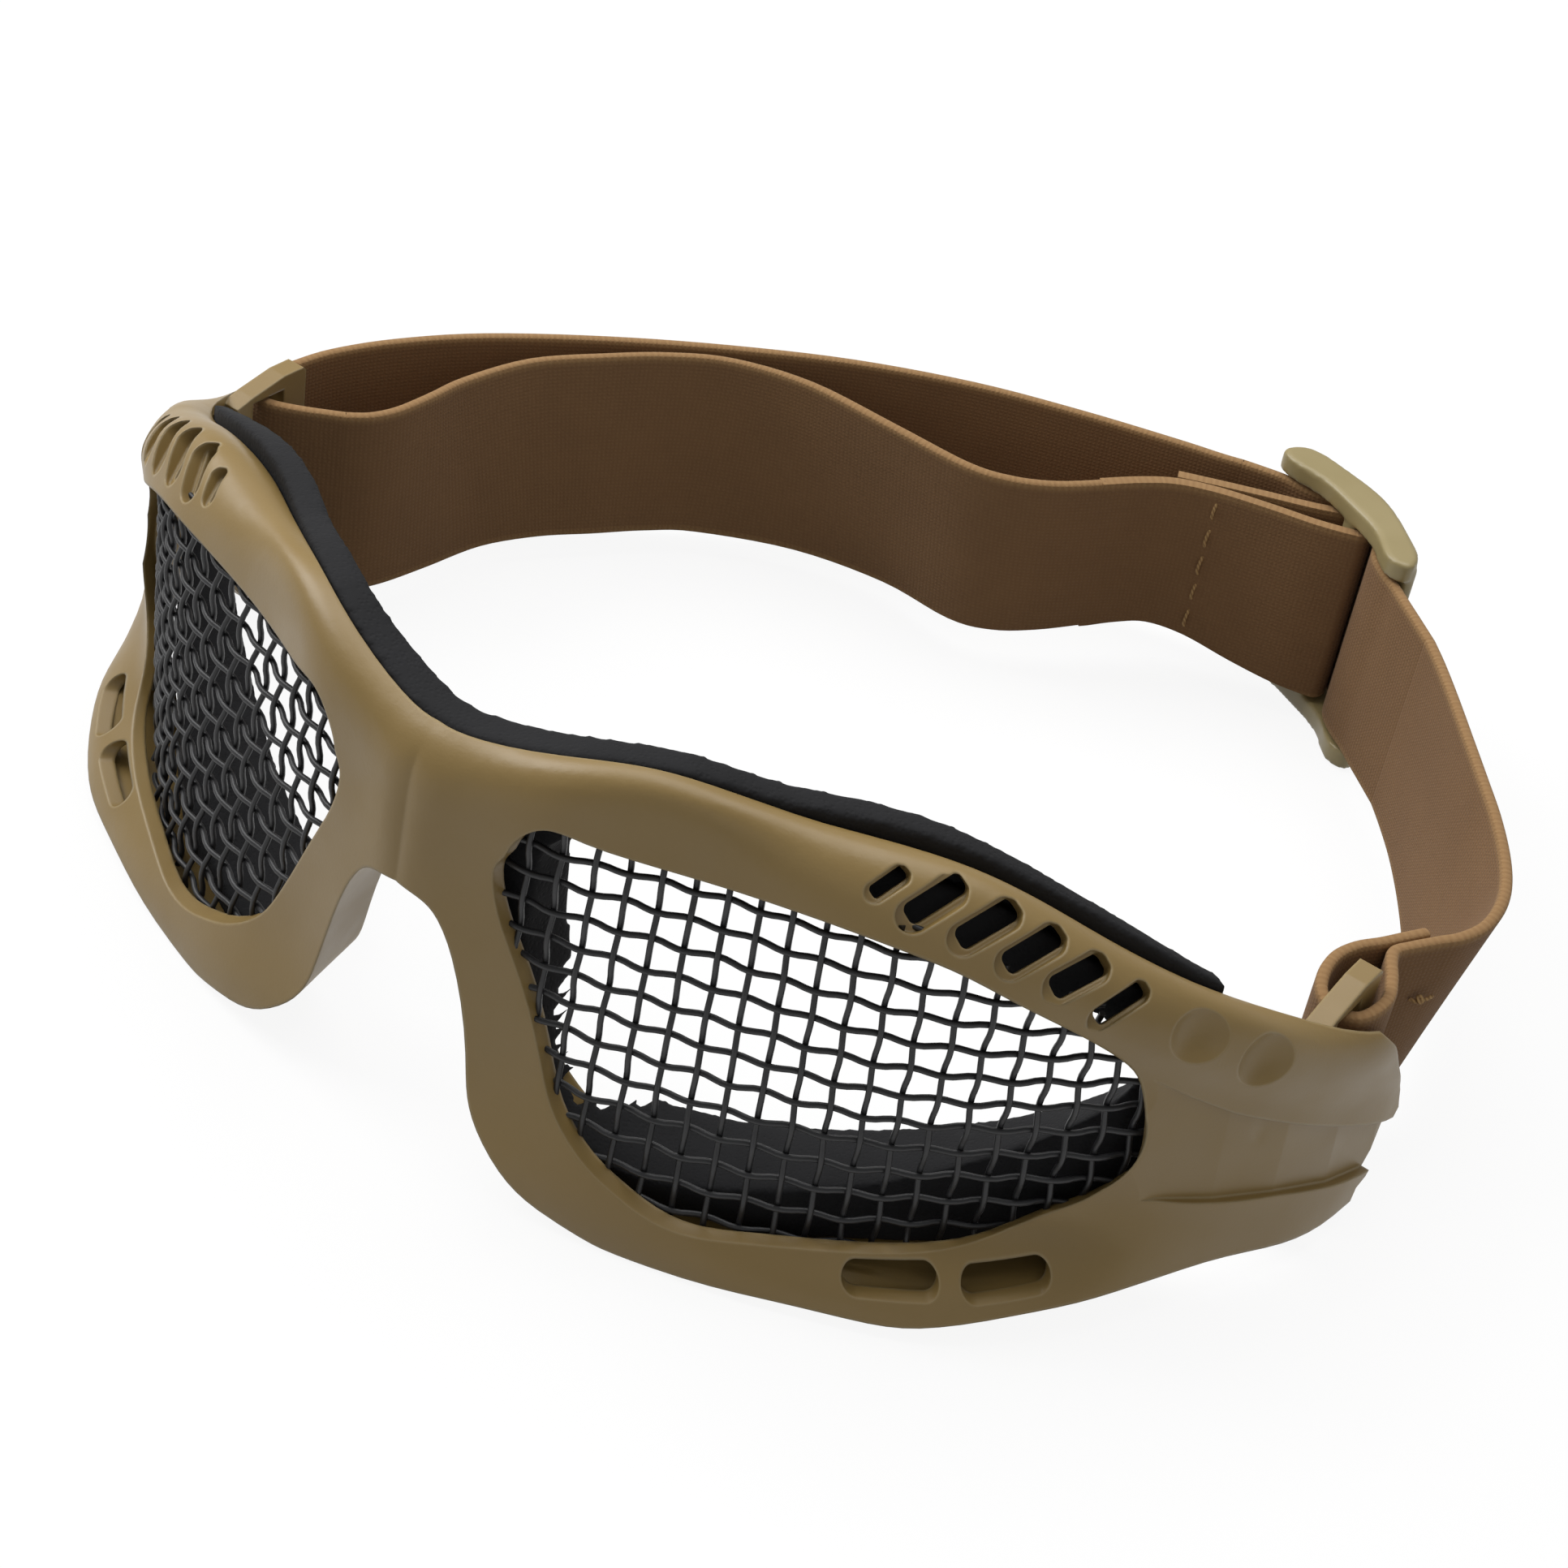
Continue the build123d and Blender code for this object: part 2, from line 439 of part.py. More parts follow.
with BuildPart() as half_frame:
    for i in range(station_count):
        profile = outer_points(i)
        rim = (rim_radius_shares[i] * half_width, rim_height_shares[i] * frame_height)
        seat = (seat_middle_radius_shares[i] * half_width, middle_heights[i] * frame_height)
        seat_foot = (seat_foot_radius_shares[i] * half_width, -foot_drop)
        with BuildSketch(radial_plane(station_angles[i])):
            with BuildLine():
                Spline(profile + [rim])
                Polyline(rim, seat, seat_foot, profile[0])
            make_face()
    loft()
    add(under_solid(0, 0), mode=Mode.SUBTRACT)
    # Rear end of the temple
    with BuildSketch(Plane.YZ):
        with BuildLine():
            points = [(y * half_width, z * frame_height) for y, z in temple_end_shares]
            Polyline(*points, (half_width, points[-1][1]), (half_width, points[0][1]), close=True)
        make_face()
    extrude(amount=half_width + overrun, mode=Mode.SUBTRACT)
    # Recessed middle of the temple between the upper panel and the lower lip
    with BuildPart(mode=Mode.PRIVATE) as recess:
        for n, (lip, lip_radius, panel, panel_radius, deep) in enumerate(recess_shares):
            floor_low = lip_radius * half_width - deep * step_depth
            floor_high = panel_radius * half_width - deep * step_depth
            with BuildSketch(radial_plane(station_angles[recess_first + n])):
                with BuildLine():
                    Polyline((floor_low, lip * frame_height),
                             (floor_low + step_reach, lip * frame_height),
                             (floor_high + step_reach, panel * frame_height),
                             (floor_high, panel * frame_height), close=True)
                make_face()
        loft(ruled=True)
    add(recess.part, mode=Mode.SUBTRACT)
    add(cavity.part, mode=Mode.SUBTRACT)
    add(front_prism(opening_shares, 0, -half_width / 2, opening_back), mode=Mode.SUBTRACT)
    # Vents through the brow, each at the upper end of a shallow recess
    run = placed(vent_shares[-1][0]) - placed(vent_shares[0][0])
    for low_share, high_share, width_share in vent_shares:
        low, high = placed(low_share), placed(high_share)
        normal, axis = surface_normal(low, high, run)
        length, middle = (high - low).length, (low + high) / 2
        with BuildSketch(Plane(origin=middle - normal * vent_recess_depth, x_dir=axis,
                               z_dir=normal)):
            SlotOverall(length, vent_recess_width * width_share)
        extrude(amount=vent_depth + vent_recess_depth, mode=Mode.SUBTRACT)
        middle += axis * length * (1 - vent_through_share) / 2
        with BuildSketch(Plane(origin=middle, x_dir=axis, z_dir=normal)):
            RectangleRounded(length * vent_through_share, vent_width * width_share,
                             vent_width * width_share * vent_corner_share)
        extrude(amount=vent_depth, both=True, mode=Mode.SUBTRACT)
    # Two shallow dimples behind the vents
    for low_share, high_share in dimple_shares:
        middle = (placed(low_share) + placed(high_share)) / 2
        out = Vector(middle.X, middle.Y - wrap_centre_y, middle.Z / 2).normalized()
        with Locations(middle + out * (dimple_radius - dimple_depth)):
            Sphere(dimple_radius, mode=Mode.SUBTRACT)
    # Two stadium slots through the lower boss
    for low_share, high_share in boss_slot_shares:
        low, high = placed(low_share), placed(high_share)
        axis = (high - low).normalized()
        out = Vector(0, 0, -1).cross(axis).normalized()
        with BuildSketch(Plane(origin=(low + high) / 2, x_dir=axis, z_dir=out)):
            SlotOverall((high - low).length, boss_slot_height)
        extrude(amount=boss_slot_depth, both=True, mode=Mode.SUBTRACT)
    # Upright bar behind the temple, held by an arm above and one below
    with BuildSketch(Plane.YZ.offset(bar_x)):
        with BuildLine():
            Polyline(
                (bar_root_y, root_low), (root_rear, root_low), (root_rear, arm_under),
                (bar_front_y, arm_under), (bar_front_y, foot_arm_top),
                (root_rear + foot_arm_height, foot_arm_top), (root_rear, foot_root_top),
                (bar_root_y, foot_root_top), (bar_root_y, foot_root_low),
                (root_rear, foot_arm_low), (bar_rear, foot_arm_low),
                (bar_rear, arm_top - corner), (bar_rear - corner, arm_top),
                (bar_front_y, arm_top), (root_rear, arm_top - arm_height * 0.55),
                (bar_root_y, arm_top - arm_height * 0.95), close=True)
        make_face()
    extrude(amount=bar_thickness)
    with Locations((bar_x + root_width / 2, root_rear - bar_root_depth / 2,
                    root_low + bar_root_height * 0.43)):
        Box(root_width, bar_root_depth, bar_root_height * 0.86)
    with Locations((bar_x + foot_width / 2, root_rear - bar_root_depth / 2,
                    foot_root_low + foot_root_height / 2)):
        Box(foot_width, bar_root_depth, foot_root_height)

with BuildPart() as frame_shell:
    add(half_frame.part)
    mirror(about=Plane.YZ)

# Wire lenses: a curved sheet behind each opening, pierced in a square grid
opening = [(x * half_width, z * frame_height) for x, z in opening_shares]
with BuildPart() as sheet:
    for i in range(2, station_count - 3):
        low_z = sill_height_shares[i] * frame_height
        high_z = lens_top_height_shares[i] * frame_height
        low_r = sill_radius_shares[i] * half_width - shell_wall - mesh_gap
        high_r = lens_top_radius_shares[i] * half_width - shell_wall - mesh_gap
        lean = (high_r - low_r) / (high_z - low_z)
        foot = low_r - lean * mesh_rise
        head = high_r + lean * mesh_rise
        with BuildSketch(radial_plane(station_angles[i])):
            with BuildLine():
                Polyline((foot, low_z - mesh_rise), (head, high_z + mesh_rise),
                         (head - mesh_sheet, high_z + mesh_rise),
                         (foot - mesh_sheet, low_z - mesh_rise), close=True)
            make_face()
    loft(ruled=True)

turn = math.radians(mesh_turn)
across = Vector(math.cos(turn), math.sin(turn), 0)
facing = Vector(math.sin(turn), -math.cos(turn), 0)
places = []
for i in range(station_count):
    angle = math.radians(station_angles[i])
    radius = middle_radius_shares[i] * half_width - shell_wall - mesh_gap
    place = Vector(radius * math.sin(angle), wrap_centre_y - radius * math.cos(angle), 0)
    places.append((place.dot(across), place.X))
hole = mesh_pitch - mesh_wire
reach = hole / 2 - (mesh_lap - mesh_rim)
grid = []
for (a, xa), (b, xb) in zip(places, places[1:]):
    first, last = math.ceil(a / mesh_pitch), math.ceil(b / mesh_pitch)
    for column in range(first, last):
        along = column * mesh_pitch
        x = xa + (xb - xa) * (along - a) / (b - a)
        for row in range(int(frame_height / mesh_pitch)):
            z = (row + 1) * mesh_pitch
            corners = [(x + u * reach, z + v * reach) for u in (-1, 1) for v in (-1, 1)]
            if all(inside(u, v, opening) for u, v in corners):
                grid.append((along, z))

with BuildPart() as right_mesh_lens:
    add(sheet.part)
    add(front_prism(opening_shares, mesh_lap, -half_width / 2, opening_back + shell_wall * 4),
        mode=Mode.INTERSECT)
    add(under_solid(shell_wall + mesh_gap, shell_wall + mesh_gap), mode=Mode.SUBTRACT)
    add(half_frame.part, mode=Mode.SUBTRACT)
    with BuildSketch(Plane(origin=facing * half_width, x_dir=across, z_dir=facing * -1)):
        with Locations(*[(a, -z) for a, z in grid]):
            Rectangle(hole, hole)
    extrude(amount=half_width, mode=Mode.SUBTRACT)
with BuildPart() as left_mesh_lens:
    add(mirror(right_mesh_lens.part, about=Plane.YZ))
print("openings in one lens:", len(grid))

# Foam gasket: it hooks under the frame's rear lip, fills the space up to the lens
# and stands proud of the brow
with BuildPart() as half_foam:
    for i in range(station_count):
        if station_angles[i] > foam_end_angle:
            continue
        thick = foam_thickness * foam_thickness_shares[i]
        middle = middle_heights[i] * frame_height
        edge = rim_radius_shares[i] * half_width - foam_gap
        rim = rim_height_shares[i] * frame_height
        top = rim + foam_rise * foam_rise_shares[i]
        top_thick = foam_thickness * foam_top_shares[i]
        lip = rim - shell_wall - 2 * foam_gap
        brow = (ridge_radius_shares[i] * half_width - shell_wall - foam_gap,
                ridge_height_shares[i] * frame_height - shell_wall - foam_gap)
        behind = shell_wall + mesh_gap + mesh_sheet + foam_lens_gap
        high = (lens_top_radius_shares[i] * half_width - behind,
                lens_top_height_shares[i] * frame_height)
        low = (sill_radius_shares[i] * half_width - behind, sill_height_shares[i] * frame_height)
        seat = seat_middle_radius_shares[i] * half_width - foam_gap - thick
        foot = seat_foot_radius_shares[i] * half_width - foam_gap - thick
        with BuildSketch(radial_plane(station_angles[i])):
            with BuildLine():
                Polyline((edge, top), (edge, lip), brow, high, low, (low[0], -foot_drop),
                         (foot, -foot_drop), (seat, middle), (edge - top_thick, top), close=True)
            make_face()
    loft()
    add(under_solid(shell_wall + foam_gap, shell_wall + foam_gap), mode=Mode.SUBTRACT)
    add(front_prism(foam_opening_shares, 0, -half_width, half_width), mode=Mode.SUBTRACT)
with BuildPart() as foam_gasket:
    add(half_foam.part)
    mirror(about=Plane.YZ)

# Strap: one run of webbing, from the loop round the right bar to the slider,
# round the left bar and back to the slider's middle bar
with BuildPart() as strap_right_run:
    add(ribbon(right_run_low_shares, right_run_high_shares))
with BuildPart() as strap_slider_pass:
    add(ribbon(slider_pass_shares, slider_pass_shares))
with BuildPart() as strap_outer_run:
    add(ribbon(outer_run_shares, outer_run_shares))
with BuildPart() as strap_inner_run:
    add(ribbon(inner_run_low_shares, inner_run_high_shares))
with BuildPart() as slider_end_loop:
    add(ribbon(end_loop_low_shares, end_loop_high_shares))

# Slider: two arched rails joined by a bar at each end and one in the middle
rail = [(x * half_width, y * half_width) for x, y in rail_shares]
with BuildPart() as slider:
    for z in (strap_low - rail_gap - rail_height, strap_top + rail_gap):
        with BuildSketch(Plane.XY.offset(z)):
            with BuildLine():
                Spline(rail, periodic=True)
            make_face()
        extrude(amount=rail_height)
    with BuildSketch(Plane.XY.offset(strap_low - rail_gap - rail_height / 2)):
        for x, y in end_bar_shares:
            with Locations(Location((x * half_width, y * half_width, 0), (0, 0, slider_angle))):
                RectangleRounded(end_bar_width, end_bar_thickness, end_bar_thickness / 3)
        x, y = centre_bar_share
        with Locations(Location((x * half_width, y * half_width, 0), (0, 0, slider_angle))):
            RectangleRounded(centre_bar_width, centre_bar_thickness, centre_bar_thickness / 2.2)
    extrude(amount=strap_width + rail_gap * 2 + rail_height)

# Thread knot on the right loop and the stitch row on the slider's loop
strap_middle = strap_low + strap_width / 2
with BuildPart() as anchor_knot:
    knot_z = strap_middle + strap_width * 0.21
    add(face_strip(right_run_low_shares, right_run_high_shares, knot_index, knot_gap,
                   knot_z - knot_height / 2, knot_z + knot_height / 2, knot_length, stitch_proud))
with BuildPart() as slider_stitches:
    half_row = stitch_pitch * (stitch_count - 1) / 2
    add(face_strip(end_loop_low_shares, end_loop_high_shares, stitch_index, stitch_gap,
                   strap_middle - half_row, strap_middle + half_row, stitch_core, stitch_core))
    for n in range(stitch_count):
        z = strap_middle - half_row + n * stitch_pitch
        add(face_strip(end_loop_low_shares, end_loop_high_shares, stitch_index, stitch_gap,
                       z - stitch_length / 2, z + stitch_length / 2, stitch_thread, stitch_proud))

nodes = {
    "frame_shell": frame_shell, "left_mesh_lens": left_mesh_lens,
    "right_mesh_lens": right_mesh_lens, "foam_gasket": foam_gasket,
    "strap_right_run": strap_right_run, "strap_slider_pass": strap_slider_pass,
    "strap_outer_run": strap_outer_run, "strap_inner_run": strap_inner_run,
    "slider_end_loop": slider_end_loop, "slider": slider,
    "anchor_knot": anchor_knot, "slider_stitches": slider_stitches}
for name, piece in nodes.items():
    centred = piece.part.moved(Location((0, -middle_y, 0)))
    centred.label = name
    export_step(centred, f"parts/{name}.step")
    box = centred.bounding_box()
    print(name, round(centred.volume, 1), len(centred.solids()), centred.is_valid, box)
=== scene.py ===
import math
import random

import bmesh
import bpy
from mathutils import Matrix, Vector


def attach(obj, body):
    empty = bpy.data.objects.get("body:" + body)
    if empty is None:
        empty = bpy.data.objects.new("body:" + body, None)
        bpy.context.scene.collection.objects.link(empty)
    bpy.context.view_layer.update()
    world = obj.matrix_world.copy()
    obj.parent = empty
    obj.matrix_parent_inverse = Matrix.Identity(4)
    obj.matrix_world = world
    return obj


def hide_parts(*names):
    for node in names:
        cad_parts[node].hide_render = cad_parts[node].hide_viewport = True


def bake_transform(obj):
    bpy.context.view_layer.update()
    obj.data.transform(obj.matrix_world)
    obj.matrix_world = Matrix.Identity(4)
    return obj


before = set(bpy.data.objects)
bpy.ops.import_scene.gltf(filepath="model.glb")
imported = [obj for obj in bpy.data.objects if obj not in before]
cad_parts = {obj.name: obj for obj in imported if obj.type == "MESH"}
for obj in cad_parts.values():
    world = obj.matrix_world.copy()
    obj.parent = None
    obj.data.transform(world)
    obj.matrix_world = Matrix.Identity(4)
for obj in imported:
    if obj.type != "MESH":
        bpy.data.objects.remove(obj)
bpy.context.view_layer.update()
mm = 0.001


# Camera: held to the right of the nose and above the brow, rolled ten degrees,
# at the distance where a long lens just fits the goggles and the whole strap.
turn, tilt, roll = (math.radians(a) for a in (30.81, 37.34, 10.40))
eye = (0.1596, -0.2730, 0.2450)
back = Vector((math.sin(turn) * math.cos(tilt), -math.cos(turn) * math.cos(tilt), math.sin(tilt)))
level = Vector((math.cos(turn), math.sin(turn), 0))
over = back.cross(level)
right = level * math.cos(roll) + over * math.sin(roll)
up = over * math.cos(roll) - level * math.sin(roll)
lens = bpy.data.cameras.new("view")
lens.sensor_width = 36
lens.lens = 70.81
lens.clip_start = 0.01
view = bpy.data.objects.new("view", lens)
view.matrix_world = (Matrix.Translation(eye)
                     @ Matrix((right, up, back)).transposed().to_4x4())
bpy.context.collection.objects.link(view)
bpy.context.scene.camera = view
bpy.context.scene.view_settings.view_transform = "Standard"


# Studio: a plain white sweep under two large softboxes, one above and behind and one
# high on the left, and a weak one in front, so that tops are lit and fronts fall off.
def linear(colour):
    """sRGB hex to the linear values that a socket holds."""
    parts = [int(colour[i:i + 2], 16) / 255 for i in (1, 3, 5)]
    return tuple(c / 12.92 if c <= 0.04045 else ((c + 0.055) / 1.055) ** 2.4 for c in parts) + (1,)


def add(tree, kind, links=None, **settings):
    """A node with its settings; links holds each input's value or its source."""
    made = tree.nodes.new(kind)
    for name, value in settings.items():
        setattr(made, name, value)
    for name, value in (links or {}).items():
        if isinstance(value, bpy.types.NodeSocket):
            tree.links.new(value, made.inputs[name])
        else:
            made.inputs[name].default_value = value
    return made


def show(mesh, name):
    """Put a finished bmesh in the scene as an object of its own."""
    data = bpy.data.meshes.new(name)
    mesh.to_mesh(data)
    mesh.free()
    data.polygons.foreach_set("use_smooth", [True] * len(data.polygons))
    made = bpy.data.objects.new(name, data)
    bpy.context.collection.objects.link(made)
    return made


sweep = bmesh.new()
bmesh.ops.create_grid(sweep, x_segments=8, y_segments=8, size=3.0)
bmesh.ops.translate(sweep, verts=sweep.verts, vec=(0, 0, -0.3 * mm))
floor = show(sweep, "floor")
paper = bpy.data.materials.new("white_sweep")
paper.use_nodes = True
tree = paper.node_tree
tree.nodes.clear()
ray = add(tree, "ShaderNodeLightPath")
seen = add(tree, "ShaderNodeMath", {0: ray.outputs["Is Camera Ray"], 1: ray.outputs["Is Glossy Ray"]},
           operation="MAXIMUM")
seen = add(tree, "ShaderNodeMath", {0: seen.outputs[0], 1: ray.outputs["Is Transmission Ray"]},
           operation="MAXIMUM")
matt = add(tree, "ShaderNodeBsdfDiffuse", {"Color": linear("#FFFFFF")})
glow = add(tree, "ShaderNodeEmission", {"Color": linear("#FFFFFF"), "Strength": 1.0})
white = add(tree, "ShaderNodeMixShader", {0: 0.9, 1: matt.outputs[0], 2: glow.outputs[0]})
grey = add(tree, "ShaderNodeBsdfDiffuse", {"Color": linear("#9A9A9A")})
mixed = add(tree, "ShaderNodeMixShader", {0: seen.outputs[0], 1: grey.outputs[0], 2: white.outputs[0]})
add(tree, "ShaderNodeOutputMaterial", {"Surface": mixed.outputs[0]})
floor.data.materials.append(paper)

world = bpy.data.worlds.new("studio")
bpy.context.scene.world = world
world.use_nodes = True
tree = world.node_tree
tree.nodes.clear()
ray = add(tree, "ShaderNodeLightPath")
sky = add(tree, "ShaderNodeBackground", {"Color": linear("#FFFFFF"), "Strength": 0.36})
plain = add(tree, "ShaderNodeBackground", {"Color": linear("#FFFFFF"), "Strength": 1.0})
mixed = add(tree, "ShaderNodeMixShader",
            {0: ray.outputs["Is Camera Ray"], 1: sky.outputs[0], 2: plain.outputs[0]})
add(tree, "ShaderNodeOutputWorld", {"Surface": mixed.outputs[0]})

aim = (0, 0, 0.02)
for name, place, size, power in (
        ("overhead", (-0.15, 0.30, 0.92), 0.8, 5.5),
        ("left_side", (-0.72, -0.12, 0.68), 0.6, 6.5),
        ("front_fill", (0.75, -0.75, 0.45), 0.6, 0.5)):
    lamp = bpy.data.lights.new(name, "AREA")
    lamp.size = size
    lamp.energy = power
    made = bpy.data.objects.new(name, lamp)
    made.matrix_world = (Matrix.Translation(place)
                         @ (Vector(place) - Vector(aim)).to_track_quat("Z", "Y").to_matrix().to_4x4())
    bpy.context.collection.objects.link(made)


# Frame: one injection moulding in tan thermoplastic rubber, with the vents, the
# boss slots and the two strap bars in it. Its edges are softened as a mould's are.
frame_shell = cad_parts["frame_shell"]


def finish(name):
    """A material with its tree and its shader."""
    made = bpy.data.materials.new(name)
    made.use_nodes = True
    return made, made.node_tree, made.node_tree.nodes["Principled BSDF"]


def dress(piece, material):
    """Give a piece one material."""
    piece.data.materials.clear()
    piece.data.materials.append(material)


# Satin moulded rubber: soft broad sheen, a fine eggshell grain, edges that are
# rounded by half a millimetre and painted a little paler, partly a painted edge highlight and partly rubbed
tan, tree, shader = finish("tpr_satin_moulded")
coords = add(tree, "ShaderNodeTexCoord")
cloud = add(tree, "ShaderNodeTexNoise", {"Vector": coords.outputs["Object"], "Scale": 45.0, "Detail": 3.0})
tone = add(tree, "ShaderNodeMix", {0: cloud.outputs[0], 6: linear("#846C3E"), 7: linear("#8F7746")},
           data_type="RGBA")
facet = add(tree, "ShaderNodeNewGeometry")
eased = add(tree, "ShaderNodeBevel", {"Radius": 0.5 * mm}, samples=6)
turned = add(tree, "ShaderNodeVectorMath", {0: facet.outputs["Normal"], 1: eased.outputs[0]},
             operation="DOT_PRODUCT")
# paler along the edges: partly a painted edge highlight, partly real rubbing
edge = add(tree, "ShaderNodeMapRange", {0: turned.outputs["Value"], 1: 1.0, 2: 0.86, 3: 0.0, 4: 0.5})
edge_highlight_and_wear = add(tree, "ShaderNodeMix", {0: edge.outputs[0], 6: tone.outputs[2], 7: linear("#B7A47C")},
           data_type="RGBA")
grain = add(tree, "ShaderNodeTexNoise", {"Vector": coords.outputs["Object"], "Scale": 2600.0, "Detail": 2.0})
patch = add(tree, "ShaderNodeTexNoise", {"Vector": coords.outputs["Object"], "Scale": 120.0, "Detail": 2.0})
rough = add(tree, "ShaderNodeMapRange", {0: patch.outputs[0], 1: 0.3, 2: 0.7, 3: 0.36, 4: 0.46})
bump = add(tree, "ShaderNodeBump", {"Height": grain.outputs[0], "Strength": 0.25, "Distance": 0.06 * mm,
                                    "Normal": eased.outputs[0]})
tree.links.new(edge_highlight_and_wear.outputs[2], shader.inputs["Base Color"])
tree.links.new(rough.outputs[0], shader.inputs["Roughness"])
tree.links.new(bump.outputs[0], shader.inputs["Normal"])
dress(frame_shell, tan)


# Lenses: square-woven steel wire in black powder coat, cut to the opening and
# held behind its rim. Each wire rides over one crossing and under the next.
pitch = 3.6
row_pitch_share = 0.985
first_row = 2.2
row_count = 15
pitch_height = 25
least_step = 0.1
fine_step = 0.05
degrees_per_mm = 0.8
wire = 0.70
crimp = 0.62
wire_slack = 0.12
shortest_wire = 1.2
same_point = 0.01
lens_back = 2.25
# degrees round the wrap, then radius and height at the sill and at the brow
lens_rows = (
    (8, 74.6, 11.0, 72.5, 46.2), (13, 74.6, 11.0, 72.3, 48.2), (20, 75.9, 10.0, 70.8, 48.0),
    (28, 77.2, 8.0, 70.9, 47.6), (35, 78.3, 7.0, 73.0, 47.5), (41.5, 79.2, 7.8, 75.9, 47.0),
    (48, 79.8, 9.0, 78.9, 45.0), (54, 80.8, 10.5, 81.0, 41.0), (60, 82.8, 11.5, 82.6, 35.5),
    (65, 85.2, 12.0, 84.0, 31.2), (70, 86.6, 12.0, 85.3, 28.0), (76, 87.6, 11.0, 86.6, 24.0))
opening = (
    (12.0, 44.0), (13.5, 47.0), (16.1, 49.0), (20.0, 48.6), (25.7, 47.7), (33.7, 47.5), (42.1, 47.5),
    (50.3, 47.0), (58.1, 45.2), (65.5, 40.9), (70.3, 36.7), (72.1, 34.1), (73.3, 30.5), (74.4, 25.7),
    (74.0, 19.4), (72.5, 16.7), (71.0, 14.7), (68.0, 12.3), (63.5, 9.2), (57.0, 7.6), (50.5, 6.8),
    (44.0, 6.0), (38.0, 5.5), (34.4, 6.2), (31.0, 7.6), (27.0, 9.6), (24.0, 11.8), (21.5, 14.5),
    (19.4, 18.5), (17.2, 23.8), (14.5, 30.0), (12.2, 35.0), (10.9, 39.5), (11.0, 42.0))
wrap_y = -6.2
lap = 1.6
first_angle = 8.0
last_angle = 76.0


def lens_point(angle, z, lift=0.0):
    """Point of the lens sheet at an angle round the wrap and a height."""
    for a, b in zip(lens_rows, lens_rows[1:]):
        if angle <= b[0] or b is lens_rows[-1]:
            break
    share = (angle - a[0]) / (b[0] - a[0])
    radii = []
    for row in (a, b):
        lean = (row[3] - row[1]) / (row[4] - row[2])
        radii.append(row[1] + lean * (z - row[2]))
    radius = radii[0] + (radii[1] - radii[0]) * share - lens_back + lift
    angle = math.radians(angle)
    return Vector((radius * math.sin(angle), wrap_y - radius * math.cos(angle), z))


def within(x, z, lap):
    """Whether a point of the front view is inside the opening grown by lap."""
    inside = False
    nearest = math.inf
    for (xa, za), (xb, zb) in zip(opening, opening[1:] + opening[:1]):
        if (za > z) != (zb > z) and x < xa + (z - za) * (xb - xa) / (zb - za):
            inside = not inside
        run = Vector((xb - xa, zb - za))
        share = max(0, min(1, (Vector((x - xa, z - za)).dot(run)) / run.length_squared))
        nearest = min(nearest, (Vector((x - xa, z - za)) - run * share).length)
    return inside or nearest < lap


columns = []
angle = first_angle
while angle < last_angle:
    columns.append(angle)
    step = least_step
    while (lens_point(angle + step, pitch_height) - lens_point(angle, pitch_height)).length < pitch:
        step += fine_step
    angle += step
rows = [first_row + pitch * row_pitch_share * k for k in range(row_count)]
chance = random.Random(7)
drift = {}
for i in range(len(columns)):
    for k in range(len(rows)):
        drift[i, k] = (chance.uniform(-wire_slack, wire_slack), chance.uniform(-wire_slack, wire_slack))


def crossing(i, k, over):
    """Crossing of two wires, on the near or far side of the sheet."""
    shift = drift[i, k]
    side = 1 if (i + k) % 2 == over else -1
    return lens_point(columns[i] + shift[0] * degrees_per_mm, rows[k] + shift[1], side * crimp)


def wires_of():
    """The points of every wire of the right lens, cut where it leaves the opening."""
    paths = [[crossing(i, k, 0) for i in range(len(columns))] for k in range(len(rows))]
    paths += [[crossing(i, k, 1) for k in range(len(rows))] for i in range(len(columns))]
    wires = []
    for path in paths:
        kept = []
        for a, b in zip(path, path[1:]):
            ends = [within(p.x, p.z, lap) for p in (a, b)]
            if not any(ends):
                continue
            cut = [a.copy(), b.copy()]
            if not all(ends):
                inner, outer = (a, b) if ends[0] else (b, a)
                low, high = 0.0, 1.0
                for _ in range(12):
                    middle = (low + high) / 2
                    p = inner.lerp(outer, middle)
                    low, high = (middle, high) if within(p.x, p.z, lap) else (low, middle)
                cut[1 if ends[0] else 0] = inner.lerp(outer, low)
            if kept and (kept[-1][-1] - cut[0]).length < same_point:
                kept[-1].append(cut[1])
            else:
                kept.append(cut)
        wires += [points for points in kept if (points[-1] - points[0]).length >= shortest_wire]
    return wires


def tubes(name, lines, thick, fineness):
    """One mesh piece of round tubes, each along a smooth line guided by its points."""
    curve = bpy.data.curves.new(name, "CURVE")
    curve.dimensions = "3D"
    curve.bevel_depth = thick / 2 * mm
    curve.bevel_resolution = 2
    curve.use_fill_caps = True
    for points in lines:
        line = curve.splines.new("NURBS")
        line.points.add(len(points) - 1)
        for spot, p in zip(line.points, points):
            spot.co = (p[0] * mm, p[1] * mm, p[2] * mm, 1)
        line.order_u = 3
        line.use_endpoint_u = True
        line.resolution_u = fineness
    drawn = bpy.data.objects.new(name, curve)
    data = bpy.data.meshes.new_from_object(drawn)
    bpy.data.objects.remove(drawn)
    data.polygons.foreach_set("use_smooth", [True] * len(data.polygons))
    made = bpy.data.objects.new(name, data)
    bpy.context.collection.objects.link(made)
    return made


